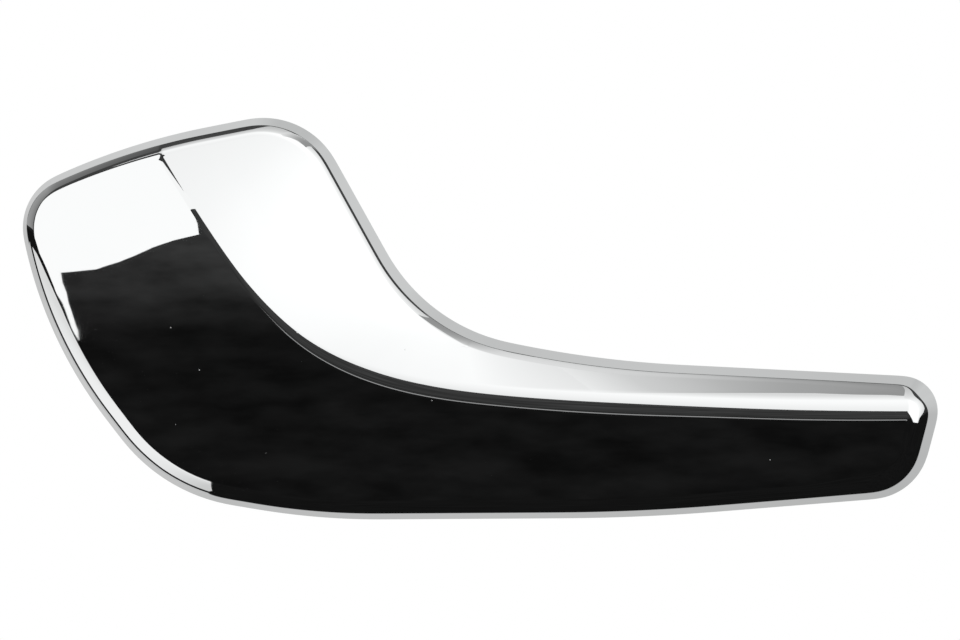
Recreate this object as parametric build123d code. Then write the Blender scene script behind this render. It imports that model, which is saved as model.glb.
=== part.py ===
from build123d import *
import math
import os

# All sizes are in millimetres and degrees. The part is drawn with x along the lever, y up and z out of the
# door towards the hand, from the plane that the bracket is screwed to, and is stood upright when written.

# Lever outline seen from the front: corner x, corner height, and the radius that rounds the corner
lever_corners = (
    (-35.9, 20.1, 9.6),     # upper left of the wide end
    (-16.0, 29.0, 115.0),   # bow of the top edge
    (13.9, 34.9, 14.0),     # upper right of the wide end
    (34.6, -2.2, 31.0),     # hollow where the wide end runs into the arm
    (63.6, -8.1, 185.0),    # end of that hollow
    (123.1, -11.0, 6.0),    # upper corner of the finger end
    (117.8, -31.0, 10.2),   # lower corner of the finger end
    (70.8, -34.8, 360.0),   # bow of the lower edge
    (16.2, -35.2, 125.0),   # lower edge under the wide end
    (-10.4, -30.8, 30.0),   # lower left of the wide end
    (-30.4, -4.9, 74.0),    # bow of the left edge
)

# Crease between the two faces of the lever: x, height, and how far the upper face falls away behind it
crease_points = (
    (-13.8, 33.0, 15.0),
    (-3.7, 16.5, 15.3),
    (6.5, 2.6, 17.8),
    (14.9, -5.0, 20.5),
    (29.7, -11.4, 26.5),
    (47.6, -14.0, 32.0),
    (68.0, -15.1, 36.5),
    (98.6, -15.8, 40.5),
    (128.0, -16.2, 41.5),
)
flank_rise = 1.2            # how far the upper face is drawn on above the crease
flank_drop = 9.0            # how far it is drawn on below the crease

# Chrome shell
rim_height = 20.0           # back rim of the shell above the mounting plane
front_height = 36.0         # highest point of the lower face
crown_x = 45.0              # where that face is highest
crown_y = -7.0
crown_length_radius = 800.0
crown_width_radius = 230.0
crown_spots = 6             # steps in which its arc is drawn
wall_draft = 7.0
shell_wall = 2.4
crease_radius = 4.0
edge_radius = 2.6
rim_ledge = 1.1
shell_rib = 1.4
shell_rib_start = 47.0
shell_rib_pitch = 22.0
shell_rib_count = 4
shell_rib_clear = 2.0       # gap from the back cover to the ribs

# Back cover of the lever, with the hinge knuckles and the cable crank
cover_thickness = 2.5
cover_fit = 0.15
pad_start = 40.0
pad_inset = 3.6
pad_height = 4.5
pad_round = 3.0
pad_wall = 2.2
hinge_x = -17.0
hinge_height = 12.0
knuckle_radius = 4.6
knuckle_length = 6.0
knuckle_gap = 15.4
hinge_middle = 4.0
lug_foot = 8.0
lug_foot_round = 1.0
crank_reach = 21.0
crank_thickness = 5.0
crank_end_radius = 4.4
crank_chamfer = 0.6
cable_end_radius = 2.6
cable_slit = 2.0
peg_radius = 1.5
peg_length = 4.0
peg_x = 104.0
peg_y = -22.0

# Screws that hold the cover in the shell
screw_places = ((4.0, 19.5), (-4.0, -22.0), (33.0, -24.0))
screw_shank_radius = 1.25
screw_length = 6.5           # under the head
screw_head_radius = 2.8
screw_head_height = 1.9
screw_head_round = 0.8
screw_cross = 0.9
screw_cross_depth = 1.1
screw_boss_radius = 3.0
screw_fit = 0.05
screw_seat_depth = 1.2
screw_seat_fit = 0.4
screw_end_room = 0.3

# Hinge bracket
bracket_corners = (
    (-30.0, 19.0, 4.0),
    (-6.0, 29.6, 5.0),
    (6.0, 29.6, 5.4),
    (29.0, 5.0, 5.0),
    (29.0, -5.0, 5.0),
    (6.0, -29.6, 5.4),
    (-5.0, -29.6, 5.0),
    (-22.3, -15.0, 3.0),
    (-30.4, 5.0, 4.0),
)
bracket_plate = 3.0
flange_width = 2.0
flange_height = 6.0
flange_round = 0.6
ear_thickness = 4.0
side_gap = 0.3
mount_half_spacing = 24.0
mount_side_x = 23.4
mount_hole_radius = 2.1
mount_hole_depth = 10.0
mount_boss_radius = 4.4
mount_boss_height = 12.0
post_chamfer = 0.4
bracket_rib = 2.0
bracket_rib_height = 8.0
window_margin = 0.7
sleeve_post_x = -27.3
sleeve_post_length = 3.4
sleeve_post_width = 9.6
sleeve_seat_radius = 2.6
sleeve_seat_mouth = 4.4
sleeve_post_wall = 3.6

# Hinge pin and its ring
pin_radius = 2.0
pin_ear_fit = 0.01
pin_running_fit = 0.05
pin_head_radius = 3.4
pin_head_height = 1.4
pin_end = 2.4
pin_chamfer = 0.4
ring_thickness = 0.8
ring_radius = 3.6
ring_gap = 0.2
ring_groove = 0.4

# Return spring
spring_wire_radius = 0.6
spring_radius = 3.5
spring_turns = 6
spring_height = 11.0
spring_leg_angle = 60.0
spring_top = 9.4

# Rubber bumpers
bumper_radius = 2.6
bumper_stem_radius = 1.4
bumper_stem_length = 4.0
bumper_cap = 1.6
bumper_gap = 0.3
bumper_post_radius = 3.2
rest_post_x = 13.0
rest_post_y = 0.0
stop_post_x = -27.0
stop_post_y = 4.5
pull_angle = 40.0

lever_reach = max(max(abs(x), abs(y)) for x, y, radius in lever_corners)    # past every point of the outline
cover_back = rim_height
cover_front = rim_height + cover_thickness
upper_knuckle_top = hinge_middle + knuckle_gap / 2 + knuckle_length
lower_knuckle_top = hinge_middle - knuckle_gap / 2
upper_ear_top = upper_knuckle_top + side_gap + ear_thickness
lower_ear_top = lower_knuckle_top - knuckle_length - side_gap
lower_ear_foot = lower_ear_top - ear_thickness
crank_top = upper_knuckle_top - (knuckle_length - crank_thickness) / 2
cable_end_height = hinge_height - crank_reach


def rounded_face(corners):
    """A flat face whose straight sides meet in rounded corners."""
    outline = FilletPolyline(*[c[:2] for c in corners], radius=[c[2] for c in corners], close=True)
    return make_face(outline.edges())


def lever_face(inset):
    """The lever's outline, moved in by inset all round."""
    face = rounded_face(lever_corners)
    return offset(face, -inset) if inset else face


def drafted(face, low, height):
    """A prism on face whose sides lean in towards the front."""
    prism = extrude(Pos(0, 0, low) * face, amount=height)
    sides = prism.faces().filter_by(lambda f: abs(f.normal_at().Z) < 0.5)
    return draft(sides, Plane.XY.offset(low), wall_draft)


def crown_height(x, y):
    """Height of the crowned lower face above the mounting plane."""
    bulge = crown_length_radius - crown_width_radius
    bulge += math.sqrt(crown_width_radius**2 - (y - crown_y) ** 2)
    return front_height - crown_length_radius + math.sqrt(bulge**2 - (x - crown_x) ** 2)


def crowned_solid():
    """Everything behind the lower face, which is an arc swung round an upright axis far behind the lever."""
    reach = lever_reach / 2
    swing = math.degrees(math.asin(lever_reach / crown_length_radius))
    sag = crown_width_radius - math.sqrt(crown_width_radius**2 - reach**2)
    side = crown_length_radius - sag
    back = crown_length_radius - front_height
    arc = ThreePointArc((side, -reach), (crown_length_radius, 0), (side, reach))
    spots = [arc @ (n / crown_spots) for n in range(crown_spots + 1)]
    arc = Spline(*spots, tangents=(arc % 0, arc % 1))       # a spline, so that the swung face has no seam
    rest = Polyline((side, reach), (back, reach), (back, -reach), (side, -reach))
    middle = (crown_x, crown_y, front_height - crown_length_radius)
    plane = Plane(origin=middle, x_dir=(0, 0, 1), z_dir=(-1, 0, 0))
    axis = Axis(middle, (0, 1, 0))
    profile = plane * make_face([*arc.edges(), *rest.edges()])
    return revolve(profile.rotate(axis, -swing), axis, 2 * swing)


def space_over_flank():
    """Everything in front of the upper face, which is ruled straight down from the crease."""
    line = Spline(*[p[:2] for p in crease_points])
    above = []
    below = []
    for x, y, fall in crease_points:
        along = line.tangent_at(line.param_at_point((x, y)))
        out = Vector(-along.Y, along.X)
        on_crease = Vector(x, y, crown_height(x, y))
        slope = math.tan(math.radians(fall))
        above.append(on_crease - out * (flank_rise / slope) + Vector(0, 0, flank_rise))
        below.append(on_crease + out * (flank_drop / slope) - Vector(0, 0, flank_drop))
    flank = Face.make_surface_from_curves(Spline(*above).edge(), Spline(*below).edge())
    return Solid.extrude(flank, Vector(0, 0, front_height))


def lever_form(inset):
    """The lever's solid form with sharp edges, or the same form moved in by inset for the hollow."""
    lowered = Pos(0, 0, -inset)
    prism = drafted(lever_face(inset), rim_height, front_height + flank_rise - rim_height)
    return (prism & (lowered * crowned_solid())) - lowered * space_over_flank()


def rounded_form():
    """The lever's form with its crease and its front edge rounded."""
    form = lever_form(0)
    x, y, fall = crease_points[len(crease_points) // 2 - 1]
    on_crease = Vector(x, y, crown_height(x, y))
    form = fillet(form.edges().sort_by_distance(on_crease)[:1], crease_radius)
    front = form.edges().filter_by(lambda e: e.bounding_box().min.Z > rim_height + edge_radius)
    return fillet(front.sort_by_distance(on_crease)[2:], edge_radius)


def rod(radius, x, y, low, height):
    """A round bar standing out from the door."""
    return Pos(x, y, low) * Cylinder(radius, height, align=(Align.CENTER, Align.CENTER, Align.MIN))


def upright_rod(radius, z, low, height):
    """A round bar along the hinge axis, at height z from the mounting plane."""
    bar = Cylinder(radius, height, align=(Align.CENTER, Align.CENTER, Align.MAX))
    return Pos(hinge_x, low, z) * Rot(90, 0, 0) * bar


def lug(top, height, foot, foot_left):
    """A hinge lug that narrows from its foot to a round eye."""
    ground = Line((hinge_x - foot_left, foot), (hinge_x + lug_foot, foot))
    eye = CenterArc((hinge_x, hinge_height), knuckle_radius, 0, 360)
    profile = make_hull([*ground.edges(), *eye.edges()])
    return extrude(Plane.XZ.offset(-top) * profile, amount=height)


def post(radius, x, y, height):
    """A round post on the bracket's plate with a small chamfer at its top."""
    bar = rod(radius, x, y, 0, height)
    return chamfer(bar.edges().group_by(Axis.Z)[-1], post_chamfer)


def chrome_shell():
    shell = rounded_form() - lever_form(shell_wall)
    shell -= extrude(Pos(0, 0, rim_height) * lever_face(shell_wall - rim_ledge), amount=cover_thickness)
    rooted = lever_form(shell_wall / 2)     # bosses and ribs run half-way into the wall
    bosses = [rod(screw_boss_radius, x, y, cover_front, front_height) for x, y in screw_places]
    bosses.append(rod(screw_boss_radius, peg_x, peg_y, cover_front, front_height))
    rib = Box(shell_rib, lever_reach, front_height, align=(Align.CENTER, Align.CENTER, Align.MIN))
    ribs = [
        Pos(shell_rib_start + n * shell_rib_pitch, peg_y, cover_front + shell_rib_clear) * rib
        for n in range(shell_rib_count)
    ]
    for piece in bosses + ribs:
        shell += rooted & piece
    pilot_radius = screw_shank_radius + screw_fit
    pilot_depth = screw_length - cover_thickness + screw_seat_depth + screw_end_room
    for x, y in screw_places:
        shell -= rod(pilot_radius, x, y, cover_front, pilot_depth)
    return shell - rod(peg_radius + screw_fit, peg_x, peg_y, cover_front, peg_length + screw_fit)


def back_cover():
    seated = lever_face(shell_wall - rim_ledge + cover_fit)
    cover = extrude(Pos(0, 0, cover_back) * seated, amount=cover_thickness)
    half = Pos(pad_start, 0) * Rectangle(2 * lever_reach, 2 * lever_reach, align=(Align.MIN, Align.CENTER))
    pad = extrude(Pos(0, 0, cover_back) * (lever_face(pad_inset) & half), amount=-pad_height)
    pad = fillet(pad.edges().group_by(Axis.Z)[0], pad_round)
    core = lever_face(pad_inset + pad_wall) & Pos(pad_wall, 0) * half
    cover = cover + pad
    cover -= extrude(Pos(0, 0, cover_front) * core, amount=-(cover_thickness + pad_height - pad_wall))
    cover += lug(upper_knuckle_top, knuckle_length, cover_back, lug_foot)
    cover += lug(lower_knuckle_top, knuckle_length, cover_back, lug_foot)
    back = cover.faces().filter_by(lambda f: f.normal_at().Z < 0).sort_by(SortBy.AREA)[-1]
    cover = fillet([edge for wire in back.inner_wires() for edge in wire.edges()], lug_foot_round)
    arm = make_hull(
        [
            *CenterArc((hinge_x, hinge_height), knuckle_radius, 0, 360).edges(),
            *CenterArc((hinge_x, cable_end_height), crank_end_radius, 0, 360).edges(),
        ]
    )
    crank = extrude(Plane.XZ.offset(-crank_top) * arm, amount=crank_thickness)
    cover += chamfer(crank.faces().filter_by(Axis.Y).edges(), crank_chamfer)
    pad_floor = cover_back - pad_height + pad_wall
    cover += rod(peg_radius, peg_x, peg_y, pad_floor, cover_front - pad_floor + peg_length)
    cover += rod(screw_boss_radius, peg_x, peg_y, pad_floor, cover_front - pad_floor)
    hinge_length = upper_ear_top - lower_ear_foot
    cover -= upright_rod(pin_radius + pin_running_fit, hinge_height, lower_ear_foot, hinge_length)
    cover -= upright_rod(cable_end_radius, cable_end_height, lower_ear_foot, hinge_length)
    slit = Box(2 * crank_end_radius, crank_thickness, cable_slit, align=(Align.MAX, Align.MAX, Align.CENTER))
    cover -= Pos(hinge_x, crank_top, cable_end_height) * slit
    seat_radius = screw_head_radius + screw_seat_fit
    for x, y in screw_places:
        cover -= rod(screw_shank_radius + screw_fit, x, y, cover_back, cover_thickness)
        cover -= rod(seat_radius, x, y, cover_back - pad_height, pad_height + screw_seat_depth)
    return cover


def cover_screw(x, y):
    seat = cover_back + screw_seat_depth
    head = rod(screw_head_radius, x, y, seat - screw_head_height, screw_head_height)
    head = fillet(head.edges().group_by(Axis.Z)[0], screw_head_round)
    screw = head + rod(screw_shank_radius, x, y, seat, screw_length)
    low = (Align.CENTER, Align.CENTER, Align.MIN)
    for length, width in ((2 * screw_shank_radius, screw_cross), (screw_cross, 2 * screw_shank_radius)):
        screw -= Pos(x, y, seat - screw_head_height) * Box(length, width, screw_cross_depth, align=low)
    return screw


def rib_between(x0, y0, x1, y1):
    """A straight stiffening rib on the bracket's plate."""
    length = math.hypot(x1 - x0, y1 - y0)
    turn = math.degrees(math.atan2(y1 - y0, x1 - x0))
    bar = Box(length, bracket_rib, bracket_rib_height, align=(Align.MIN, Align.CENTER, Align.MIN))
    return Pos(x0, y0, 0) * Rot(0, 0, turn) * bar


def stop_height():
    """Height of the open stop's dome centre, so that the cover meets it at the end of the pull."""
    turn = math.radians(pull_angle)
    apart = cover_back - hinge_height - bumper_radius - bumper_gap
    return hinge_height + ((stop_post_x - hinge_x) * math.sin(turn) + apart) / math.cos(turn)


def rest_height():
    """Height of the rest bumper's dome centre, so that the cover lies on it at rest."""
    return cover_back - bumper_gap - bumper_radius


def hinge_bracket():
    plate_face = rounded_face(bracket_corners)
    bracket = extrude(plate_face, amount=bracket_plate)
    flange = plate_face - offset(plate_face, -flange_width)
    flange = extrude(flange, amount=flange_height)
    bracket += fillet(flange.edges().group_by(Axis.Z)[-1], flange_round)
    mounts = [(0, mount_half_spacing), (0, -mount_half_spacing), (mount_side_x, 0)]
    for x, y in mounts:
        bracket += post(mount_boss_radius, x, y, mount_boss_height)
        bracket += rib_between(rest_post_x, rest_post_y, x, y)
    bracket += rib_between(hinge_x, lower_ear_top - ear_thickness / 2, 0, -mount_half_spacing)
    bracket += rib_between(hinge_x, upper_ear_top - ear_thickness / 2, 0, mount_half_spacing)
    bracket += lug(upper_ear_top, ear_thickness, bracket_plate, knuckle_radius)
    bracket += lug(lower_ear_top, ear_thickness, bracket_plate, knuckle_radius)
    bracket += post(bumper_post_radius, rest_post_x, rest_post_y, rest_height() - bumper_cap)
    bracket += post(bumper_post_radius, stop_post_x, stop_post_y, stop_height() - bumper_cap)
    down = (Align.CENTER, Align.CENTER, Align.MAX)
    post_reach = bracket_plate - cable_end_height + sleeve_post_wall
    sleeve_post = Box(sleeve_post_length, sleeve_post_width, post_reach, align=down)
    crank_middle = crank_top - crank_thickness / 2
    bracket += Pos(sleeve_post_x, crank_middle, bracket_plate) * sleeve_post
    seat = Pos(sleeve_post_x, crank_middle, cable_end_height) * Rot(0, 90, 0)
    bracket -= seat * Cylinder(sleeve_seat_radius, 2 * sleeve_post_length)
    mouth = Box(2 * sleeve_post_length, sleeve_seat_mouth, post_reach, align=down)
    bracket -= Pos(sleeve_post_x, crank_middle, cable_end_height) * mouth
    swing = math.radians(pull_angle)
    window_left = hinge_x - knuckle_radius - window_margin
    window_right = hinge_x + hinge_height * math.tan(swing) + knuckle_radius / math.cos(swing)
    window = Box(
        window_right + window_margin - window_left,
        crank_thickness + 2 * window_margin,
        2 * mount_boss_height,
        align=(Align.MIN, Align.CENTER, Align.CENTER),
    )
    bracket -= Pos(window_left, crank_middle, 0) * window
    for x, y in mounts:
        bracket -= rod(mount_hole_radius, x, y, 0, mount_hole_depth)
    hinge_length = upper_ear_top - lower_ear_foot
    bracket -= upright_rod(pin_radius + pin_ear_fit, hinge_height, lower_ear_foot, hinge_length)
    bumper_places = ((rest_post_x, rest_post_y, rest_height()), (stop_post_x, stop_post_y, stop_height()))
    for x, y, middle in bumper_places:
        bracket -= rod(bumper_stem_radius, x, y, middle - bumper_cap - bumper_stem_length, bumper_stem_length)
    return bracket


def bumper(x, y, middle):
    """A rubber dome on a short skirt, with a stem pressed into the bracket's post."""
    dome = Pos(x, y, middle) * Sphere(bumper_radius)
    skirt = rod(bumper_radius, x, y, middle - bumper_cap, bumper_cap)
    above = rod(bumper_radius, x, y, middle - bumper_cap, bumper_cap + bumper_radius)
    stem = rod(bumper_stem_radius, x, y, middle - bumper_cap - bumper_stem_length, bumper_stem_length)
    return ((dome + skirt) & above) + stem


def hinge_pin():
    length = upper_ear_top - lower_ear_foot + pin_end
    pin = upright_rod(pin_radius, hinge_height, lower_ear_foot - pin_end, length)
    pin = chamfer(pin.edges().group_by(Axis.Y)[0], pin_chamfer)
    groove = ring_thickness + ring_gap
    low = lower_ear_foot - ring_gap - ring_thickness
    core = upright_rod(pin_radius - ring_groove, hinge_height, low, groove)
    pin -= upright_rod(pin_radius, hinge_height, low, groove) - core
    head = upright_rod(pin_head_radius, hinge_height, upper_ear_top, pin_head_height)
    return pin + chamfer(head.edges().group_by(Axis.Y)[-1], pin_chamfer)


def pin_ring():
    low = lower_ear_foot - ring_gap / 2 - ring_thickness
    inner_radius = pin_radius - ring_groove
    ring = upright_rod(ring_radius, hinge_height, low, ring_thickness)
    ring -= upright_rod(inner_radius, hinge_height, low, ring_thickness)
    mouth = Box(
        2 * inner_radius, 2 * ring_thickness, ring_radius, align=(Align.CENTER, Align.CENTER, Align.MIN)
    )
    return ring - Pos(hinge_x, low + ring_thickness / 2, hinge_height) * mouth


def return_spring():
    """An open coil round the pin. One leg bears on the bracket's plate and the other on the lever's cover."""
    turn = math.radians(spring_leg_angle)
    start = Vector(math.cos(turn), 0, -math.sin(turn))
    turns = spring_turns + 2 * spring_leg_angle / 360
    plane = Plane(origin=(hinge_x, spring_top, hinge_height), x_dir=start, z_dir=(0, -1, 0))
    spans = 2 * spring_turns + 1        # the coil is drawn in spans of about half a turn
    span = Helix(spring_height / turns, spring_height / spans, spring_radius)
    coil = [
        plane * Pos(0, 0, n * spring_height / spans) * Rot(0, 0, n * turns * 360 / spans) * span
        for n in range(spans)
    ]
    room = spring_radius * math.sin(turn) + spring_wire_radius
    low_leg = (hinge_height - bracket_plate - room) / math.cos(turn)
    high_leg = (cover_back - hinge_height - room) / math.cos(turn)
    first = Line(coil[0] @ 0 - (coil[0] % 0) * low_leg, coil[0] @ 0)
    last = Line(coil[-1] @ 1, coil[-1] @ 1 + (coil[-1] % 1) * high_leg)
    path = Wire([*first.edges(), *[edge for piece in coil for edge in piece.edges()], *last.edges()])
    section = Plane(origin=path @ 0, z_dir=path % 0) * Circle(spring_wire_radius)
    return sweep(section, path)


def stand_up(piece):
    """Turn a piece from the drawing frame, with z out of the door, to the upright frame."""
    return Plane.XZ.location * piece


os.makedirs("parts", exist_ok=True)
pieces = {
    "chrome_shell": chrome_shell(),
    "back_cover": back_cover(),
    "cover_screws": Part() + [cover_screw(x, y) for x, y in screw_places],
    "hinge_bracket": hinge_bracket(),
    "hinge_pin": hinge_pin(),
    "pin_ring": pin_ring(),
    "return_spring": return_spring(),
    "rest_bumper": bumper(rest_post_x, rest_post_y, rest_height()),
    "stop_bumper": bumper(stop_post_x, stop_post_y, stop_height()),
}
for name, piece in pieces.items():
    export_step(stand_up(piece), f"parts/{name}.step")
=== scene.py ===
import math
import bpy
import numpy as np
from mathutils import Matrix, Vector
from mathutils.geometry import delaunay_2d_cdt


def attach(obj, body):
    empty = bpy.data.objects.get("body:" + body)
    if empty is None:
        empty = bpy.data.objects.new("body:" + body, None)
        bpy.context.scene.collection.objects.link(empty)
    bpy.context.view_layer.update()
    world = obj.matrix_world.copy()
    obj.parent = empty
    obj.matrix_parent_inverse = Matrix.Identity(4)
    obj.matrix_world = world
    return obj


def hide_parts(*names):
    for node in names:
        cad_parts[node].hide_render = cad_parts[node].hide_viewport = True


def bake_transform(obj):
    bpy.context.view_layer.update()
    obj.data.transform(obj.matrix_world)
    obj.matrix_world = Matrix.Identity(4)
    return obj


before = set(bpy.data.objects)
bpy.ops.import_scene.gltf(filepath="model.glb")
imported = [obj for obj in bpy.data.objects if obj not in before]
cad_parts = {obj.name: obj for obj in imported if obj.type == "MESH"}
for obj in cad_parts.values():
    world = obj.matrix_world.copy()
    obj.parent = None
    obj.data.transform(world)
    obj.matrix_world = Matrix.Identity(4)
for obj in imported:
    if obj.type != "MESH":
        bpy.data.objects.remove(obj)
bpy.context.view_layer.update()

scene = bpy.context.scene
scene.view_settings.view_transform = "Standard"
mm = 0.001
noiseSpan = (0.3, 0.7)                    # where nearly all values of a noise texture lie
mixFirst, mixSecond, mixOut = 6, 7, 2     # colour sockets of a mix node
print("frame loaded,", len(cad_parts), "pieces")


def toLinear(hexColour):
    parts = [int(hexColour[i:i + 2], 16) / 255 for i in (1, 3, 5)]
    return [c / 12.92 if c <= 0.04045 else ((c + 0.055) / 1.055) ** 2.4 for c in parts] + [1.0]


def addNode(tree, kind, inputs=None, **settings):
    node = tree.nodes.new(kind)
    for name, value in settings.items():
        setattr(node, name, value)
    for name, value in (inputs or {}).items():
        if isinstance(value, bpy.types.NodeSocket):
            tree.links.new(value, node.inputs[name])
        else:
            node.inputs[name].default_value = value
    return node


def newTree(name):
    material = bpy.data.materials.new(name)
    material.use_nodes = True
    material.node_tree.nodes.clear()
    return material, material.node_tree


def perMetre(sizeInMm):
    return 1 / (sizeInMm * mm)   # texture scale that gives features of that size


def toRow(points):
    # drawing: x along the lever, y up, z out of the door; frame: x, y into the door, z up
    return np.c_[points[:, 0], -points[:, 2], points[:, 1]]


def linkMesh(name, points, faces, material):
    mesh = bpy.data.meshes.new(name)
    mesh.from_pydata([tuple(p) for p in points], [], [tuple(f) for f in faces])
    mesh.polygons.foreach_set("use_smooth", [True] * len(mesh.polygons))
    mesh.materials.append(material)
    mesh.update()
    piece = bpy.data.objects.new(name, mesh)
    scene.collection.objects.link(piece)
    return piece


def ringFaces(rings, count):
    # four-sided faces between closed rings of points, each of that count
    faces = []
    for k in range(rings - 1):
        for i in range(count):
            j = (i + 1) % count
            faces.append((k * count + i, k * count + j, (k + 1) * count + j, (k + 1) * count + i))
    return faces


def tubeFaces(rings, count):
    # the same, closed at both ends
    last = (rings - 1) * count
    return ringFaces(rings, count) + [tuple(range(count))[::-1], tuple(range(last, last + count))]


# Chrome electroplated on moulded ABS: a dark neutral mirror, faintly wavy from the moulding,
# with thin smears that soften the reflection and a few specks of dust
chromeFinish = dict(
    colour="#C6C7C7", edgeTint="#E2E3E3", waveMm=11.0, waveDepthMm=0.005, waveDetail=1.0,
    smearMm=16.0, smearDetail=4.0, smearSwirl=0.6, smearSpan=(0.4, 0.75), roughness=(0.008, 0.022),
    dustMm=5.0, dustSizeMm=0.16, dustFade=(0.5, 0.9), dustRoughness=0.55,
)


def platedChrome(f):
    material, tree = newTree("abs_electroplated_chrome")
    place = addNode(tree, "ShaderNodeTexCoord").outputs["Object"]
    wave = addNode(tree, "ShaderNodeTexNoise", {
        "Vector": place, "Scale": perMetre(f["waveMm"]), "Detail": f["waveDetail"]})
    bump = addNode(tree, "ShaderNodeBump", {
        "Strength": 1.0, "Distance": f["waveDepthMm"] * mm, "Height": wave.outputs["Fac"]})
    smear = addNode(tree, "ShaderNodeTexNoise", {
        "Vector": place, "Scale": perMetre(f["smearMm"]), "Detail": f["smearDetail"],
        "Distortion": f["smearSwirl"]})
    smooth = addNode(tree, "ShaderNodeMapRange", {
        "Value": smear.outputs["Fac"], "From Min": f["smearSpan"][0], "From Max": f["smearSpan"][1],
        "To Min": f["roughness"][0], "To Max": f["roughness"][1]})
    # a speck shows where the surface passes close to the middle of a cell
    cell = addNode(tree, "ShaderNodeTexVoronoi", {"Vector": place, "Scale": perMetre(f["dustMm"])})
    speckShare = f["dustSizeMm"] / f["dustMm"]
    speck = addNode(tree, "ShaderNodeMapRange", {
        "Value": cell.outputs["Distance"], "From Min": f["dustFade"][0] * speckShare,
        "From Max": f["dustFade"][1] * speckShare, "To Min": f["dustRoughness"], "To Max": 0.0})
    rough = addNode(tree, "ShaderNodeMath", {0: smooth.outputs[0], 1: speck.outputs[0]}, operation="MAXIMUM")
    shader = addNode(tree, "ShaderNodeBsdfPrincipled", {
        "Base Color": toLinear(f["colour"]), "Metallic": 1.0, "Specular Tint": toLinear(f["edgeTint"]),
        "Roughness": rough.outputs[0], "Normal": bump.outputs[0]})
    addNode(tree, "ShaderNodeOutputMaterial", {"Surface": shader.outputs[0]})
    return material


# Glass-filled nylon from a spark-eroded mould: charcoal black, dull, with a fine even grain
# and a greyer bloom where the flow slowed
nylonFinish = dict(
    colours=("#141516", "#34363A"), flowMm=14.0, flowDetail=5.0, flowBreakUp=0.6, bloomSpan=(0.12, 0.42),
    grainMm=0.8, grainDetail=2.0, grainDepthMm=0.08, grainStrength=0.6, roughness=(0.42, 0.62), ior=1.53,
)


def mouldedNylon(f):
    material, tree = newTree("glass_filled_nylon_moulded")
    place = addNode(tree, "ShaderNodeTexCoord").outputs["Object"]
    flow = addNode(tree, "ShaderNodeTexNoise", {
        "Vector": place, "Scale": perMetre(f["flowMm"]), "Detail": f["flowDetail"],
        "Roughness": f["flowBreakUp"]})
    # real grain is about 0.1 mm, drawn coarser so that it shows
    grain = addNode(tree, "ShaderNodeTexNoise", {
        "Vector": place, "Scale": perMetre(f["grainMm"]), "Detail": f["grainDetail"]})
    bloom = addNode(tree, "ShaderNodeMath", {
        0: flow.outputs["Fac"], 1: grain.outputs["Fac"]}, operation="MULTIPLY")
    share = addNode(tree, "ShaderNodeMapRange", {
        "Value": bloom.outputs[0], "From Min": f["bloomSpan"][0], "From Max": f["bloomSpan"][1]})
    tone = addNode(tree, "ShaderNodeMix", {
        "Factor": share.outputs[0], mixFirst: toLinear(f["colours"][0]),
        mixSecond: toLinear(f["colours"][1])}, data_type="RGBA")
    dull = addNode(tree, "ShaderNodeMapRange", {
        "Value": flow.outputs["Fac"], "From Min": noiseSpan[0], "From Max": noiseSpan[1],
        "To Min": f["roughness"][0], "To Max": f["roughness"][1]})
    bump = addNode(tree, "ShaderNodeBump", {
        "Strength": f["grainStrength"], "Distance": f["grainDepthMm"] * mm, "Height": grain.outputs["Fac"]})
    shader = addNode(tree, "ShaderNodeBsdfPrincipled", {
        "Base Color": tone.outputs[mixOut], "Roughness": dull.outputs[0], "IOR": f["ior"],
        "Normal": bump.outputs[0]})
    addNode(tree, "ShaderNodeOutputMaterial", {"Surface": shader.outputs[0]})
    return material


# Zinc electroplated on steel: pale bluish grey metal, satin, with a cloudy variation
zincFinish = dict(
    colours=("#A9AEB4", "#C9CCCF"), cloudMm=2.2, cloudDetail=4.0,
    turnedMm=0.35, turnedDetail=1.0, turnedDepthMm=0.01, turnedStrength=0.5, roughness=(0.24, 0.42),
)


def zincPlatedSteel(f):
    material, tree = newTree("steel_zinc_plated")
    place = addNode(tree, "ShaderNodeTexCoord").outputs["Object"]
    cloud = addNode(tree, "ShaderNodeTexNoise", {
        "Vector": place, "Scale": perMetre(f["cloudMm"]), "Detail": f["cloudDetail"]})
    # real tool marks are about 0.1 mm apart, drawn coarser so that they show
    turned = addNode(tree, "ShaderNodeTexNoise", {
        "Vector": place, "Scale": perMetre(f["turnedMm"]), "Detail": f["turnedDetail"]})
    tone = addNode(tree, "ShaderNodeMix", {
        "Factor": cloud.outputs["Fac"], mixFirst: toLinear(f["colours"][0]),
        mixSecond: toLinear(f["colours"][1])}, data_type="RGBA")
    dull = addNode(tree, "ShaderNodeMapRange", {
        "Value": cloud.outputs["Fac"], "From Min": noiseSpan[0], "From Max": noiseSpan[1],
        "To Min": f["roughness"][0], "To Max": f["roughness"][1]})
    bump = addNode(tree, "ShaderNodeBump", {
        "Strength": f["turnedStrength"], "Distance": f["turnedDepthMm"] * mm,
        "Height": turned.outputs["Fac"]})
    shader = addNode(tree, "ShaderNodeBsdfPrincipled", {
        "Base Color": tone.outputs[mixOut], "Metallic": 1.0, "Roughness": dull.outputs[0],
        "Normal": bump.outputs[0]})
    addNode(tree, "ShaderNodeOutputMaterial", {"Surface": shader.outputs[0]})
    return material


# Drawn spring steel wire, tempered in oil: dark grey metal with brown patches and a low gloss
wireFinish = dict(colours=("#4A4744", "#6E6C69"), scaleMm=1.4, scaleDetail=4.0, roughness=(0.28, 0.5))


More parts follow.
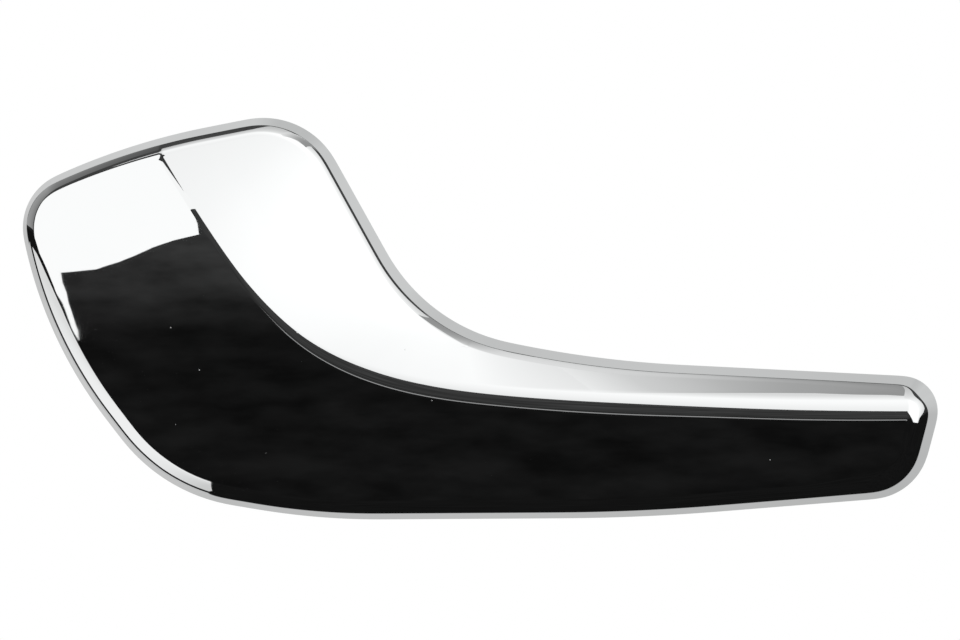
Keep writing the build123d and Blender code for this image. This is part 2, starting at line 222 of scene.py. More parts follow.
def drawnSpringSteel(f):
    material, tree = newTree("spring_steel_drawn_wire")
    place = addNode(tree, "ShaderNodeTexCoord").outputs["Object"]
    scale = addNode(tree, "ShaderNodeTexNoise", {
        "Vector": place, "Scale": perMetre(f["scaleMm"]), "Detail": f["scaleDetail"]})
    tone = addNode(tree, "ShaderNodeMix", {
        "Factor": scale.outputs["Fac"], mixFirst: toLinear(f["colours"][0]),
        mixSecond: toLinear(f["colours"][1])}, data_type="RGBA")
    dull = addNode(tree, "ShaderNodeMapRange", {
        "Value": scale.outputs["Fac"], "To Min": f["roughness"][0], "To Max": f["roughness"][1]})
    shader = addNode(tree, "ShaderNodeBsdfPrincipled", {
        "Base Color": tone.outputs[mixOut], "Metallic": 1.0, "Roughness": dull.outputs[0]})
    addNode(tree, "ShaderNodeOutputMaterial", {"Surface": shader.outputs[0]})
    return material


# Pressed rubber: soft black with a grey bloom and a slightly pitted skin
rubberFinish = dict(
    colours=("#141414", "#2A2A29"), bloomMm=1.6, bloomDetail=5.0, pitMm=0.4, pitDetail=1.0, pitDepthMm=0.03,
    pitStrength=0.6, roughness=(0.6, 0.85), ior=1.52,
)


def pressedRubber(f):
    material, tree = newTree("rubber_pressed")
    place = addNode(tree, "ShaderNodeTexCoord").outputs["Object"]
    bloom = addNode(tree, "ShaderNodeTexNoise", {
        "Vector": place, "Scale": perMetre(f["bloomMm"]), "Detail": f["bloomDetail"]})
    pit = addNode(tree, "ShaderNodeTexNoise", {
        "Vector": place, "Scale": perMetre(f["pitMm"]), "Detail": f["pitDetail"]})
    tone = addNode(tree, "ShaderNodeMix", {
        "Factor": bloom.outputs["Fac"], mixFirst: toLinear(f["colours"][0]),
        mixSecond: toLinear(f["colours"][1])}, data_type="RGBA")
    dull = addNode(tree, "ShaderNodeMapRange", {
        "Value": bloom.outputs["Fac"], "To Min": f["roughness"][0], "To Max": f["roughness"][1]})
    bump = addNode(tree, "ShaderNodeBump", {
        "Strength": f["pitStrength"], "Distance": f["pitDepthMm"] * mm, "Height": pit.outputs["Fac"]})
    shader = addNode(tree, "ShaderNodeBsdfPrincipled", {
        "Base Color": tone.outputs[mixOut], "Roughness": dull.outputs[0], "IOR": f["ior"],
        "Normal": bump.outputs[0]})
    addNode(tree, "ShaderNodeOutputMaterial", {"Surface": shader.outputs[0]})
    return material


chrome = platedChrome(chromeFinish)
nylon = mouldedNylon(nylonFinish)
zinc = zincPlatedSteel(zincFinish)
wire = drawnSpringSteel(wireFinish)
rubber = pressedRubber(rubberFinish)
nodeFinish = dict(
    chrome_shell=chrome, back_cover=nylon, hinge_bracket=nylon, cover_screws=zinc, hinge_pin=zinc,
    pin_ring=zinc, return_spring=wire, rest_bumper=rubber, stop_bumper=rubber)
for name, finish in nodeFinish.items():
    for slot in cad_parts[name].material_slots:
        slot.material = finish
print("materials made:", len({finish.name for finish in nodeFinish.values()}))


# Lever shell, in mm and degrees, drawn with x along the lever, y up and z out of the door
leverShell = dict(
    # corner x, corner height and the radius that rounds it, clockwise from the upper left
    corners=[(-35.9, 20.1, 9.6), (-16.0, 29.0, 115.0), (13.9, 34.9, 14.0), (34.6, -2.2, 31.0),
             (63.6, -8.1, 185.0), (123.1, -11.0, 6.0), (117.8, -31.0, 10.2), (70.8, -34.8, 360.0),
             (16.2, -35.2, 125.0), (-10.4, -30.8, 30.0), (-30.4, -4.9, 74.0)],
    # crease x and height, fall of the upper face behind it, and how wide it is rounded
    crease=[(-13.8, 33.0, 15.0, 0.4), (-3.7, 16.5, 15.3, 0.6), (6.5, 2.6, 17.8, 1.3), (14.9, -5.0, 20.5, 2.3),
            (29.7, -11.4, 26.5, 3.4), (47.6, -14.0, 32.0, 4.0), (68.0, -15.1, 35.2, 4.7),
            (83.0, -15.4, 38.8, 5.0), (98.6, -15.65, 40.8, 5.4), (128.0, -15.5, 41.5, 5.5)],
    bowStart=25.0, bowEnd=70.0, bow=0.006,                          # the arm's upper face is slightly bowed
    rim=20.0, front=36.0, crownX=45.0, crownY=-7.0, lengthRadius=800.0, widthRadius=230.0,
    wall=2.4, lip=1.3, ledge=2.5, rimRound=0.25,
    edgeRadius=2.6, tipRadius=3.8, tipStart=98.0, tipEnd=112.0,     # front edge, rounder at the finger end
    lean=1.2,                                                       # how far the wall leans in
    # where it leans in further: side it faces, by how much, how narrowly, and share by x
    leanMore=[((-0.8, -0.6), 0.22, 4, [(-10, 1), (20, 0)]), ((0.76, 0.65), 0.7, 6, [(106, 0), (116, 1)])],
    # posts for the cover's screws and peg: x, height, radius and depth of the hole
    posts=[(4.0, 19.5, 1.3, 5.5), (-4.0, -22.0, 1.3, 5.5), (33.0, -24.0, 1.3, 5.5),
           (104.0, -22.0, 1.55, 4.05)],
    postRadius=3.0, ribs=[47.0, 69.0, 91.0, 113.0], ribWidth=1.4, ribGap=2.0, ribInset=2.4,
    postRooted=0.95, ribRooted=0.5,                                 # how far they run into the front's wall
    # fineness of the mesh, and the lengths over which slopes are measured beside the crease and elsewhere
    outlineStep=0.42, outlineEase=1.0, arcSteps=60, edgeSteps=14, rimSteps=3, postSides=32, ribSteps=24,
    creaseSamples=700, creaseBand=8.0, creaseStep=0.25, creasePace=0.8, gridStep=1.6, edgeMargin=0.3,
    slopeSteps=(0.02, 0.4),
)


def outlineLoop(s):
    # arcs round the corners, with straight stretches between
    corners = s["corners"]
    path = []
    for i, (x, y, radius) in enumerate(corners):
        here = np.array([x, y])
        toLast = np.array(corners[i - 1][:2]) - here
        toNext = np.array(corners[(i + 1) % len(corners)][:2]) - here
        toLast /= np.linalg.norm(toLast)
        toNext /= np.linalg.norm(toNext)
        half = math.acos(toLast @ toNext) / 2
        middle = here + (toLast + toNext) / np.linalg.norm(toLast + toNext) * radius / math.sin(half)
        reach = radius / math.tan(half)
        first = here + toLast * reach - middle
        last = here + toNext * reach - middle
        start = math.atan2(first[1], first[0])
        swing = math.remainder(math.atan2(last[1], last[0]) - start, 2 * math.pi)
        for angle in start + swing * np.linspace(0, 1, s["arcSteps"]):
            path.append(middle + radius * np.array([math.cos(angle), math.sin(angle)]))
    path = np.array(path + path[:1])
    step, ease = s["outlineStep"], s["outlineEase"]
    run = np.r_[0, np.cumsum(np.linalg.norm(np.diff(path, axis=0), axis=1))]
    at = np.linspace(0, run[-1], int(run[-1] / step), endpoint=False)
    loop = np.stack([np.interp(at, run, path[:, k]) for k in (0, 1)], axis=1)
    # a bell-shaped average along the outline eases arcs and straights into each other
    reach = int(4 * ease / step)
    shifts = range(-reach, reach + 1)
    weights = np.exp(-0.5 * (np.array(shifts) * step / ease) ** 2)
    loop = sum(w * np.roll(loop, k, axis=0) for k, w in zip(shifts, weights / weights.sum()))
    along = np.roll(loop, -1, axis=0) - np.roll(loop, 1, axis=0)
    along /= np.linalg.norm(along, axis=1)[:, None]
    outward = np.stack([-along[:, 1], along[:, 0]], axis=1)
    return loop[::-1], outward[::-1]      # anticlockwise from the front


def smoothThrough(knots, values, at):
    # natural cubic spline
    n = len(knots)
    gap = np.diff(knots)
    matrix = np.eye(n)
    right = np.zeros_like(values)
    for i in range(1, n - 1):
        matrix[i, i - 1:i + 2] = gap[i - 1], 2 * (gap[i - 1] + gap[i]), gap[i]
        right[i] = 6 * ((values[i + 1] - values[i]) / gap[i] - (values[i] - values[i - 1]) / gap[i - 1])
    bend = np.linalg.solve(matrix, right)
    i = np.clip(np.searchsorted(knots, at) - 1, 0, n - 2)
    width = gap[i][:, None]
    a = (knots[i + 1] - at)[:, None] / width
    b = (at - knots[i])[:, None] / width
    bent = ((a**3 - a) * bend[i] + (b**3 - b) * bend[i + 1]) * width**2 / 6
    return a * values[i] + b * values[i + 1] + bent


def easedShare(x, start, end):
    # 0 before the start, 1 after the end, and a smooth rise between
    share = np.clip((x - start) / (end - start), 0, 1)
    return share**2 * (3 - 2 * share)


class LeverFront:
    # the two front faces: a crowned lower one, and an upper one that falls away behind the crease
    def __init__(self, s):
        self.s = s
        points = np.array(s["crease"])
        knots = np.r_[0, np.cumsum(np.linalg.norm(np.diff(points[:, :2], axis=0), axis=1))]
        self.line = smoothThrough(knots, points, np.linspace(0, knots[-1], s["creaseSamples"]))
        along = np.gradient(self.line[:, :2], axis=0)
        self.pace = np.linalg.norm(along, axis=1)
        self.along = along / self.pace[:, None]

    def crown(self, x, y):
        s = self.s
        bulge = s["lengthRadius"] - s["widthRadius"] + np.sqrt(s["widthRadius"]**2 - (y - s["crownY"])**2)
        return s["front"] - s["lengthRadius"] + np.sqrt(bulge**2 - (x - s["crownX"])**2)

    def fromCrease(self, x, y):
        # nearest place on the crease, and the distance from it, positive on the upper face
        atOnce = 4000        # points measured at a time, to spare memory
        index = np.empty(len(x))
        for k in range(0, len(x), atOnce):
            part = slice(k, k + atOnce)
            gap = (x[part, None] - self.line[None, :, 0])**2 + (y[part, None] - self.line[None, :, 1])**2
            index[part] = gap.argmin(axis=1)
        for _ in range(2):   # then slides to its place between two samples
            low = np.clip(index.astype(int), 0, len(self.line) - 2)
            share = (index - low)[:, None]
            spot = self.line[low] * (1 - share) + self.line[low + 1] * share
            along = self.along[low] * (1 - share) + self.along[low + 1] * share
            slide = (x - spot[:, 0]) * along[:, 0] + (y - spot[:, 1]) * along[:, 1]
            index = np.clip(index + slide / self.pace[low], 0, len(self.line) - 1)
        away = (y - spot[:, 1]) * along[:, 0] - (x - spot[:, 0]) * along[:, 1]
        return spot, away

    def height(self, x, y):
        s = self.s
        spot, away = self.fromCrease(x, y)
        fall = np.radians(spot[:, 2])
        bowed = s["bow"] * easedShare(spot[:, 0], s["bowStart"], s["bowEnd"])
        lower = self.crown(x, y)
        upper = self.crown(spot[:, 0], spot[:, 1]) - away * np.tan(fall) - bowed * np.maximum(away, 0)**2
        reach = spot[:, 3] / 2 * np.tan(fall)
        blend = np.clip(1 - np.abs(lower - upper) / reach, 0, None)
        return np.minimum(lower, upper) - blend**2 * reach / 4

    def normal(self, x, y):
        # a short step beside the crease, and a longer one where the face is plain
        beside, elsewhere = self.s["slopeSteps"]
        d = np.where(np.abs(self.fromCrease(x, y)[1]) > self.s["creaseBand"], elsewhere, beside)
        dx = (self.height(x + d, y) - self.height(x - d, y)) / (2 * d)
        dy = (self.height(x, y + d) - self.height(x, y - d)) / (2 * d)
        n = np.stack([-dx, -dy, np.ones_like(dx)], axis=1)
        return n / np.linalg.norm(n, axis=1)[:, None]


def rolledEdge(s, front, loop, outward):
    # a ball rolled along the wall and the front: its centre and radius, and the normals where it touches them
    tip = easedShare(loop[:, :1], s["tipStart"], s["tipEnd"])
    radius = s["edgeRadius"] + (s["tipRadius"] - s["edgeRadius"]) * tip
    inset = np.full(len(loop), s["lean"])
    for side, more, narrow, share in s["leanMore"]:
        facing = np.clip(outward @ np.array(side), 0, 1)**narrow
        inset += more * facing * np.interp(loop[:, 0], *zip(*share))
    tries, contactPace, risePace = 40, 0.6, 0.7          # the ball settles in small steps
    firstRise, leastRise, mostRise = 8.0, 1.0, 20.0      # height of the wall up to where it touches
    rise = np.full(len(loop), firstRise)
    contact = loop - outward * (inset[:, None] + radius)
    for _ in range(tries):
        lean = np.arctan(inset / rise)
        wallNormal = np.c_[outward * np.cos(lean)[:, None], np.sin(lean)]
        centre = np.c_[loop - outward * inset[:, None], s["rim"] + rise] - radius * wallNormal
        frontNormal = front.normal(contact[:, 0], contact[:, 1])
        contact += contactPace * (centre[:, :2] + radius * frontNormal[:, :2] - contact)
        miss = front.height(contact[:, 0], contact[:, 1]) - radius[:, 0] * frontNormal[:, 2] - centre[:, 2]
        rise = np.clip(rise + risePace * miss, leastRise, mostRise)
    return centre, radius, wallNormal, frontNormal


def partWay(a, b, share):
    # directions turned part of the way from a to b
    angle = np.arccos(np.clip((a * b).sum(axis=1), -1, 1))[:, None]
    return (np.sin((1 - share) * angle) * a + np.sin(share * angle) * b) / np.sin(angle)


def outerRings(s, front, loop, outward):
    # the outer skin from the rim to the front face, as rings of points with their normals
    centre, radius, wallNormal, frontNormal = rolledEdge(s, front, loop, outward)
    count = len(loop)
    back = np.tile([0.0, 0.0, -1.0], (count, 1))
    rimCentre = np.c_[loop - s["rimRound"] * outward, np.full(count, s["rim"] + s["rimRound"])]
    rings = []
    for share in np.linspace(1, 0, s["rimSteps"] + 1):
        n = partWay(wallNormal, back, share)
        rings.append((rimCentre + s["rimRound"] * n, n))
    for share in np.linspace(0, 1, s["edgeSteps"] + 1):
        n = partWay(wallNormal, frontNormal, share)
        rings.append((centre + radius * n, n))
    return rings


def insideLoop(points, loop):
    inside = np.zeros(len(points), bool)
    for (x0, y0), (x1, y1) in zip(loop, np.roll(loop, -1, axis=0)):
        if y0 != y1:
            crosses = (points[:, 1] > y0) != (points[:, 1] > y1)
            inside ^= crosses & (points[:, 0] < x0 + (points[:, 1] - y0) * (x1 - x0) / (y1 - y0))
    return inside


def clearOf(points, loop, margin):
    clear = np.ones(len(points), bool)
    for x, y in loop:
        clear &= (points[:, 0] - x)**2 + (points[:, 1] - y)**2 > margin**2
    return clear


def frontPoints(s, front, loop):
    # rows beside the crease, and an even grid elsewhere
    stride = max(1, int(s["creasePace"] / front.pace.mean()))
    spot = front.line[::stride, :2]
    along = front.along[::stride]
    out = np.stack([-along[:, 1], along[:, 0]], axis=1)
    offsets = np.arange(-s["creaseBand"], s["creaseBand"] + s["creaseStep"] / 2, s["creaseStep"])
    rows = np.concatenate([spot + d * out for d in offsets])
    low = loop.min(axis=0)
    high = loop.max(axis=0)
    x, y = np.meshgrid(*[np.arange(low[k], high[k], s["gridStep"]) for k in (0, 1)])
    x = x + (np.arange(len(x)) % 2)[:, None] * s["gridStep"] / 2     # every second row is shifted
    grid = np.c_[x.ravel(), y.ravel()]
    grid = grid[np.abs(front.fromCrease(grid[:, 0], grid[:, 1])[1]) > s["creaseBand"] + s["gridStep"] / 2]
    points = np.concatenate([rows, grid])
    return points[insideLoop(points, loop) & clearOf(points, loop, s["edgeMargin"])]


def fillLoop(loop, points):
    count = len(loop)
    edges = [(i, (i + 1) % count) for i in range(count)]
    coords = [Vector(p) for p in np.concatenate([loop, points])]
    insideOnly, nearest = 1, 1e-6        # triangles inside the loop; points nearer than that count as one
    _, _, triangles, sources, _, _ = delaunay_2d_cdt(coords, edges, [], insideOnly, nearest)
    return np.array([[sources[v][0] for v in triangle] for triangle in triangles])


def postMesh(s, front, post):
    # a round post behind the front, with a blind hole
    x, y, holeRadius, depth = post
    turns = np.linspace(0, 2 * math.pi, s["postSides"], endpoint=False)
    circle = np.stack([np.cos(turns), np.sin(turns)], axis=1)
    outer = np.array([x, y]) + s["postRadius"] * circle
    hole = np.array([x, y]) + holeRadius * circle
    foot = np.full(len(turns), s["rim"] + s["ledge"])
    top = front.height(outer[:, 0], outer[:, 1]) - s["wall"] + s["postRooted"]
    rings = [np.c_[hole, foot + depth], np.c_[hole, foot], np.c_[outer, foot], np.c_[outer, top]]
    return np.concatenate(rings), tubeFaces(len(rings), len(turns))


def ribMesh(s, front, loop, x):
    # a thin web across the arm from wall to wall
    onward = np.roll(loop, -1, axis=0)
    crosses = (loop[:, 0] > x) != (onward[:, 0] > x)
    a, b = loop[crosses], onward[crosses]
    walls = a[:, 1] + (x - a[:, 0]) / (b[:, 0] - a[:, 0]) * (b[:, 1] - a[:, 1])
    y = np.linspace(walls.min() + s["ribInset"], walls.max() - s["ribInset"], s["ribSteps"])
    foot = np.full(len(y), s["rim"] + s["ledge"] + s["ribGap"])
    top = front.height(np.full(len(y), x), y) - s["wall"] + s["ribRooted"]
    left, right = x - s["ribWidth"] / 2, x + s["ribWidth"] / 2
    corners = [(left, top), (right, top), (right, foot), (left, foot)]
    rings = np.stack([np.c_[np.full(len(y), side), y, height] for side, height in corners], axis=1)
    return rings.reshape(-1, 3), tubeFaces(len(y), len(corners))


def flatNormal(corners):
    ring = corners - corners[0]
    normal = np.cross(ring, np.roll(ring, -1, axis=0)).sum(axis=0)
    return (normal / np.linalg.norm(normal)).tolist()


def shellMesh(s):
    loop, outward = outlineLoop(s)
    front = LeverFront(s)
    skin = outerRings(s, front, loop, outward)
    edge, edgeNormal = skin[-1]
    points = frontPoints(s, front, edge[:, :2])
    triangles = fillLoop(edge[:, :2], points)
    face = np.concatenate([edge, np.c_[points, front.height(points[:, 0], points[:, 1])]])
    faceNormal = np.concatenate([edgeNormal, front.normal(points[:, 0], points[:, 1])])
    count = len(loop)
    back = np.tile([0.0, 0.0, -1.0], (count, 1))
    inward = np.c_[-outward, np.zeros(count)]

    def ledgeRing(inset, height):
        return np.c_[loop - outward * inset, np.full(count, s["rim"] + height)]

    # points in rows: rings of the skin, front face, ledge that the cover sits on, and inside of the front
    rows = [ring for ring, n in skin[:-1]] + [face]
    rows += [ledgeRing(s["lip"], 0), ledgeRing(s["lip"], s["ledge"]), ledgeRing(s["wall"], s["ledge"])]
    rows += [face - s["wall"] * faceNormal]
    starts = np.r_[0, np.cumsum([len(row) for row in rows])]
    polygons = []
    normals = []
    ids = np.arange(count)
    nextIds = (ids + 1) % count

    def band(low, high, lowNormal, highNormal):
        quads = np.stack([low + ids, low + nextIds, high + nextIds, high + ids], axis=1)
        corners = np.stack([lowNormal, lowNormal[nextIds], highNormal[nextIds], highNormal], axis=1)
        polygons.extend(quads.tolist())
        normals.extend(corners.reshape(-1, 3).tolist())

    for k in range(len(skin) - 1):
        band(starts[k], starts[k + 1], skin[k][1], skin[k + 1][1])
    faceStart, lip, ledgeTop, ledgeFoot, roof = starts[len(skin) - 1:-1]
    polygons.extend((triangles + faceStart).tolist())
    normals.extend(faceNormal[triangles].reshape(-1, 3).tolist())
    band(lip, starts[0], back, back)
    band(ledgeTop, lip, inward, inward)
    band(ledgeFoot, ledgeTop, back, back)
    band(roof, ledgeFoot, inward, inward)
    polygons.extend((triangles[:, ::-1] + roof).tolist())
    normals.extend((-faceNormal[triangles[:, ::-1]]).reshape(-1, 3).tolist())

    bodies = [postMesh(s, front, post) for post in s["posts"]]
    bodies += [ribMesh(s, front, loop, x) for x in s["ribs"]]
    for corners, sides in bodies:
        start = sum(len(row) for row in rows)
        rows.append(corners)
        for side in sides:
            polygons.append([start + v for v in side])
            normals.extend([flatNormal(corners[list(side)])] * len(side))
    return np.concatenate(rows), polygons, np.array(normals)


points, polygons, cornerNormals = shellMesh(leverShell)
shell = linkMesh("plated_lever_shell", toRow(points) * mm, polygons, chrome)
shell.data.normals_split_custom_set(toRow(cornerNormals).tolist())
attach(shell, "lever")
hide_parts("chrome_shell")
print("lever shell:", len(points), "points,", len(polygons), "faces")


# Return spring, in mm and degrees, drawn in the same way as the shell
springWire = dict(
    x=-17.0, height=12.0, top=9.4, length=11.0, radius=3.5, wireRadius=0.6, turns=6, legAngle=60.0,
    plate=3.0, cover=20.0,                 # faces of the bracket and the cover that the legs rest on
    stepsPerTurn=40, legSteps=8, sides=14,
)


def springPath(s):
    lean = math.radians(s["legAngle"])
    across = np.array([math.cos(lean), 0, -math.sin(lean)])
    onward = np.array([math.sin(lean), 0, math.cos(lean)])
    turns = s["turns"] + 2 * s["legAngle"] / 360
    angle = np.linspace(0, 2 * math.pi * turns, int(turns * s["stepsPerTurn"]))
    coil = s["radius"] * (np.cos(angle)[:, None] * across + np.sin(angle)[:, None] * onward)
    coil = coil + np.array([s["x"], s["top"], s["height"]])
    coil[:, 1] -= s["length"] * angle / angle[-1]
    room = s["radius"] * math.sin(lean) + s["wireRadius"]
    lowLeg = (s["height"] - s["plate"] - room) / math.cos(lean)
    highLeg = (s["cover"] - s["height"] - room) / math.cos(lean)
    first = coil[0] - (coil[1] - coil[0]) / np.linalg.norm(coil[1] - coil[0]) * lowLeg
    last = coil[-1] + (coil[-1] - coil[-2]) / np.linalg.norm(coil[-1] - coil[-2]) * highLeg
    share = np.linspace(0, 1, s["legSteps"], endpoint=False)[:, None]
    return np.concatenate([first + (coil[0] - first) * share, coil, last + (coil[-1] - last) * share[::-1]])


def wireMesh(path, radius, sides):
    along = np.gradient(path, axis=0)
    along /= np.linalg.norm(along, axis=1)[:, None]
    side = np.cross(along[0], [0.3, 1.0, 0.2])       # any direction across the wire will do
    points = []
    for here, ahead in zip(path, along):
        side = side - ahead * (side @ ahead)
        side /= np.linalg.norm(side)
        other = np.cross(ahead, side)
        for turn in np.linspace(0, 2 * math.pi, sides, endpoint=False):
            points.append(here + radius * (math.cos(turn) * side + math.sin(turn) * other))
    return np.array(points), tubeFaces(len(path), sides)


points, faces = wireMesh(springPath(springWire), springWire["wireRadius"], springWire["sides"])
spring = linkMesh("return_coil", toRow(points) * mm, faces, wire)
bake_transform(spring)
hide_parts("return_spring")
print("return spring:", len(faces), "faces")


# Camera, in mm and degrees: a long lens square to the handle, a little to the right and above
cameraView = dict(
    target=(43.5, -20.0, -1.2), distance=3000.0, right=3.0, up=0.7, frameWidth=163.2, sensor=36.0,
    clipEnd=20000.0,
)


def addCamera(c):
    right = math.radians(c["right"])
    up = math.radians(c["up"])
    away = Vector((math.sin(right) * math.cos(up), -math.cos(right) * math.cos(up), math.sin(up)))
    lens = bpy.data.cameras.new("camera")
    lens.sensor_width = c["sensor"]
    lens.lens = c["sensor"] * c["distance"] / c["frameWidth"]
    lens.clip_end = c["clipEnd"] * mm
    camera = bpy.data.objects.new("camera", lens)
    camera.location = (Vector(c["target"]) + away * c["distance"]) * mm
    camera.rotation_euler = (-away).to_track_quat("-Z", "Y").to_euler()
    scene.collection.objects.link(camera)
    scene.camera = camera


addCamera(cameraView)
print("camera set")


# Studio: black cloth all round in front, lit diffuser panels on it, white paper behind; the cloth and the
# paper glow, and that glow is painted light.
# Places are in degrees right and up of the line that runs straight out of the door.
studio = dict(
    centre=cameraView["target"], clothRadius=2600.0, panelRadius=2550.0, flagRadius=220.0, gridStep=4.0,
    foldDetail=4.0, diffuserMm=300.0, diffuserMottle=(0.995, 1.005), white=1.0, fill=0.55,
    floorDrop=250.0, floorHalf=700.0, floorColour="#F1F1F0", floorRoughness=0.9,
    lampPower=16.0, lampSize=1.0, lampPlace=(-0.7, -1.3, 1.2),      # watts and metres
)
# angles from that line, painted brightness along a slope, its share by the turn round the line, and blotches
# of painted fold shade
rounds = dict(
    black_cloth_painted_light=dict(start=0.1, end=150.0, rows=40, slope=(0, 1), mottleMm=90.0, mottle=(0.6, 1.5),
                     glow=[(-180, 0.010), (1, 0.011), (7, 0.045), (12, 0.058), (90, 0.088), (180, 0.088)]),
    white_paper_painted_light=dict(start=150.0, end=179.9, rows=12, slope=(0.7, 0.7), mottleMm=400.0, mottle=(0.96, 1.04),
                     glow=[(-120, 0.72), (120, 1.08)],
                     shade=[(-180, 1.0), (-155, 1.05), (-120, 1.0), (-92, 0.95), (-59, 0.9), (-22, 0.8),
                            (-8, 0.8), (20, 0.98), (49, 1.0), (65, 0.86), (90, 0.86), (102, 1.0),
                            (109, 1.05), (137, 1.0)]),
)
# outline in degrees, brightness by the angle from that line, and its share by the turn round the line
panels = dict(
    key_panel=dict(
        outline=[(-4, 38), (3, 36.5), (7, 33.5), (10, 29.5), (12, 26.5), (15.6, 24), (18.4, 20.9),
                 (25, 15.2), (34, 4), (44, -9), (70, -15), (77, 0), (100, 12), (110, 24), (104, 45),
                 (86, 72), (55, 118), (26, 135.5), (4, 138), (0, 112), (-5.7, 94), (-16.6, 85.4),
                 (-15.6, 73.4), (-17.5, 65), (-23, 59.5), (-29, 55), (-27.5, 53), (-21, 53), (-14, 49.5),
                 (-8, 46.5)],
        glow=[(0, 1.42), (33, 1.42), (42, 1.5), (50, 1.6), (61, 1.72), (68, 1.46), (73, 1.24), (85, 1.12),
              (95, 1.03), (110, 0.95), (138, 0.9)],
        shade=[(-10, 1.05), (20, 1.42), (40, 1.42), (60, 1.2), (72, 1.08), (84, 1.0), (92, 0.97),
               (101, 0.78), (108, 0.76)]),
    # a grey flag that glows: its brightness is painted light
    grey_flag_painted_light=dict(
        outline=[(9, 57), (12.9, 62.8), (16.4, 67.3), (20.3, 70.4), (23.2, 71.7), (25.2, 71.7),
                 (27.3, 68.5), (29.5, 66.7), (30.2, 64.3), (32.5, 66), (36, 72), (44, 84), (58, 106),
                 (72, 119), (45, 136), (24, 138), (15, 105), (11, 83), (9, 70)],
        glow=[(57, 1.35), (64, 1.2), (70, 1.0)],
        shade=[(63, 0.5), (68, 0.52), (69.6, 0.58), (71.2, 0.62), (72.5, 0.65), (74.3, 0.76), (76.3, 0.92),
               (78.4, 1.02), (80.9, 1.22), (82.5, 1.28)]),
    # a white flag that glows: its brightness is painted light
    white_flag_painted_light=dict(
        outline=[(-22.9, 15.6), (-11.5, 23.1), (0, 30.8), (-1.3, 32.1), (-13.2, 26.6), (-25.1, 21.3)],
        glow=[(0, 1.62)]),
    left_window=dict(
        outline=[(-16.2, 6.5), (-15.0, 6.8), (-14.3, 7.5), (-13.3, 8.8), (-12.6, 9.5), (-11.85, 10.0),
                 (-11.9, 11.0), (-12.05, 12.1), (-12.1, 12.7), (-12.15, 14.3), (-12.7, 17.8), (-12.8, 30),
                 (-13.5, 37), (-19, 40), (-30, 46), (-46, 36), (-52, 16), (-62, -1), (-50.7, -1.3),
                 (-26, 3.6), (-16.45, 5.2), (-16.08, 3.6), (-15.72, 1.2), (-15.55, 0.3), (-15.56, 1.25),
                 (-15.9, 3.75)],
        glow=[(0, 1.7)]),
    left_strip=dict(
        outline=[(-104, -14.8), (-73, -7.8), (-46.5, -3.1), (-31.3, -0.2), (-18.2, 2.2), (-17.2, -1.5),
                 (-16.6, -5.5), (-15.2, -10.5), (-11.8, -13.5), (-19.6, -40.5), (-31.3, -81.4), (-38, -96),
                 (-64, -82), (-87, -56), (-99, -32)],
        glow=[(0, 1.0)],
        shade=[(-180, 1.2), (-171, 1.22), (-160, 1.4), (-150, 1.52), (-138, 1.52), (-127, 1.36),
               (-115, 1.03), (-110, 1.0), (180, 1.2)]),
    # paper that glows: its brightness is painted light
    left_paper_painted_light=dict(
        outline=[(-125, -18), (-152, -26), (-145, -52), (-120, -96), (-87, -127), (-60, -141), (-48, -117),
                 (-78, -100), (-105, -70), (-120, -40)],
        glow=[(0, 1.0)]),
    # a grey drape that glows: its brightness and its fall-off are painted light and shade
    grey_drape_painted_light=dict(
        outline=[(-150, 10), (-110, 102), (-70, 133), (-50, 141), (-30, 97), (-30, 80), (-38, 70),
                 (-48, 46), (-58, 24), (-65, 5)],
        glow=[(64, 0.34), (90, 0.46), (150, 0.62)],
        shade=[(107, 0.2), (112, 0.32), (118, 0.55), (132, 1.0)]),
    foot_strip=dict(
        outline=[(-7, 3.2), (-4, 1.5), (2, 0), (12, -1), (12, 2), (2, 3), (-4, 4.5), (-7, 6)],
        glow=[(0, 0.5)]),
)


def tentPoints(degrees, radius):
    tilt = np.radians(np.hypot(degrees[:, 0], degrees[:, 1]))
    turn = np.arctan2(degrees[:, 1], degrees[:, 0])
    ray = np.stack([np.sin(tilt) * np.cos(turn), -np.cos(tilt), np.sin(tilt) * np.sin(turn)], axis=1)
    return (np.array(studio["centre"]) + radius * ray) * mm


def glowMaterial(name, blotchMm, blotch):
    # cloth, paper or diffuser that gives off an even light, a little blotchy from its folds; on the cloth and
    # paper that glow is painted light and the blotches are painted fold shade
    material, tree = newTree(name)
    level = addNode(tree, "ShaderNodeAttribute", attribute_name="glow")
    place = addNode(tree, "ShaderNodeTexCoord").outputs["Object"]
    fold = addNode(tree, "ShaderNodeTexNoise", {
        "Vector": place, "Scale": perMetre(blotchMm), "Detail": studio["foldDetail"]})
    uneven = addNode(tree, "ShaderNodeMapRange", {
        "Value": fold.outputs["Fac"], "From Min": noiseSpan[0], "From Max": noiseSpan[1],
        "To Min": blotch[0], "To Max": blotch[1]})
    strength = addNode(tree, "ShaderNodeMath", {
        0: level.outputs["Fac"], 1: uneven.outputs[0]}, operation="MULTIPLY")
    light = addNode(tree, "ShaderNodeEmission", {"Color": (1, 1, 1, 1), "Strength": strength.outputs[0]})
    addNode(tree, "ShaderNodeOutputMaterial", {"Surface": light.outputs[0]})
    material.cycles.emission_sampling = "NONE"
    return material


def addCard(name, degrees, faces, level, radius, material):
    card = linkMesh(name, tentPoints(degrees, radius), faces, material)
    card.data.attributes.new("glow", "FLOAT", "POINT").data.foreach_set("value", level)
    # cards show in reflections, and leave the even light on the dull pieces alone
    card.visible_camera = False
    card.visible_diffuse = False
    card.visible_shadow = False
    card.visible_transmission = False


def byTurn(degrees, part):
    turn = np.degrees(np.arctan2(degrees[:, 1], degrees[:, 0]))
    return np.interp(turn, *zip(*part.get("shade", [(0, 1)])))


